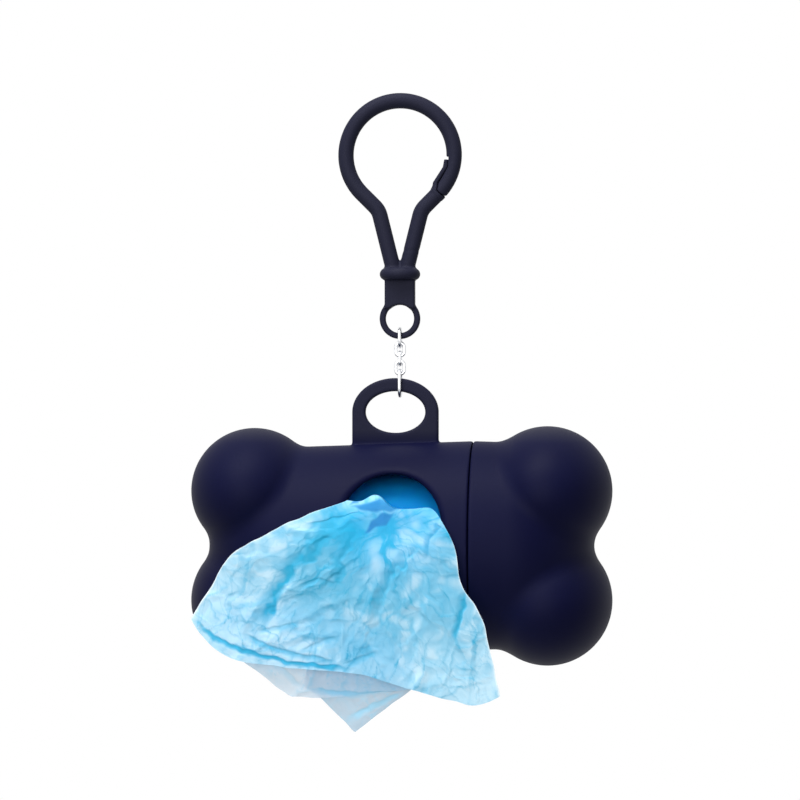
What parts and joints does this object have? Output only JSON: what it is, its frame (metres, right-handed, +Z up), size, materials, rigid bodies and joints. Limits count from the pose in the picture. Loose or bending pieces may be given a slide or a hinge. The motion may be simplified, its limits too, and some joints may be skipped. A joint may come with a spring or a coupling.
{
  "type": "dog poop bag dispenser",
  "caption": "Bone-shaped case that holds a roll of waste bags and feeds them out of a round front hole, hung by a short chain from a plastic snap clip.",
  "frame": {"origin": "centre of the snap clip's round loop, midway through its thickness", "axes": "+Z up along the hanging line, -Y towards the front with the dispensing hole, +X along the case towards the end cap"},
  "size_m": [0.0842, 0.044, 0.125],
  "materials": {
    "case_plastic": "satin moulded polypropylene, navy black",
    "clip_plastic": "satin moulded plastic, navy black",
    "chain_steel": "bright nickel-plated wire",
    "card": "plain brown card",
    "rolled_film": "tightly wound blue film",
    "film": "thin crumpled sky-blue polyethylene film"
  },
  "bodies": {
    "clip": {"clip_frame": "clip_plastic"},
    "gate": {"clip_gate": "clip_plastic"},
    "link_1": {"chain_link_1": "chain_steel"},
    "link_2": {"chain_link_2": "chain_steel"},
    "link_3": {"chain_link_3": "chain_steel"},
    "link_4": {"chain_link_4": "chain_steel"},
    "link_5": {"chain_link_5": "chain_steel"},
    "case": {"housing": "case_plastic"},
    "cap": {"end_cap": "case_plastic"},
    "roll": {"bag_roll": "rolled_film", "roll_core": "card"},
    "bag": {"drawn_bag": "film"}
  },
  "joints": [
    {"name": "gate_flex", "type": "hinge", "parent": "clip", "child": "gate", "pos_m": [0.00238, 0, -0.01865], "axis": [0, -1, 0], "range_deg": [0, 14], "stiffness_Nm_per_rad": 0.2},
    {"name": "link_1_swing", "type": "hinge", "parent": "clip", "child": "link_1", "pos_m": [0, 0, -0.0362], "axis": [1, 0, 0], "range_deg": [-30, 30]},
    {"name": "link_2_swing", "type": "hinge", "parent": "link_1", "child": "link_2", "pos_m": [0, 0, -0.03835], "axis": [0, 1, 0], "range_deg": [-30, 30]},
    {"name": "link_3_swing", "type": "hinge", "parent": "link_2", "child": "link_3", "pos_m": [0, 0, -0.04017], "axis": [1, 0, 0], "range_deg": [-30, 30]},
    {"name": "link_4_swing", "type": "hinge", "parent": "link_3", "child": "link_4", "pos_m": [0, 0, -0.04199], "axis": [0, 1, 0], "range_deg": [-30, 30]},
    {"name": "link_5_swing", "type": "hinge", "parent": "link_4", "child": "link_5", "pos_m": [0, 0, -0.04381], "axis": [1, 0, 0], "range_deg": [-30, 30]},
    {"name": "case_swing", "type": "hinge", "parent": "link_5", "child": "case", "pos_m": [0, 0, -0.04824], "axis": [0, 1, 0], "range_deg": [-24, 24]},
    {"name": "cap_pull", "type": "slide", "parent": "case", "child": "cap", "axis": [1, 0, 0], "range_m": [0, 0.045]},
    {"name": "roll_spin", "type": "hinge", "parent": "case", "child": "roll", "pos_m": [0.0003, 0, -0.07951], "axis": [1, 0, 0], "range_deg": [0, 100]},
    {"name": "bag_pull", "type": "slide", "parent": "case", "child": "bag", "axis": [0, -1, 0], "range_m": [0, 0.028]}
  ],
  "couplings": [
    {"joint": "bag_pull", "follows": "roll_spin", "m_per_rad": 0.016}
  ]
}
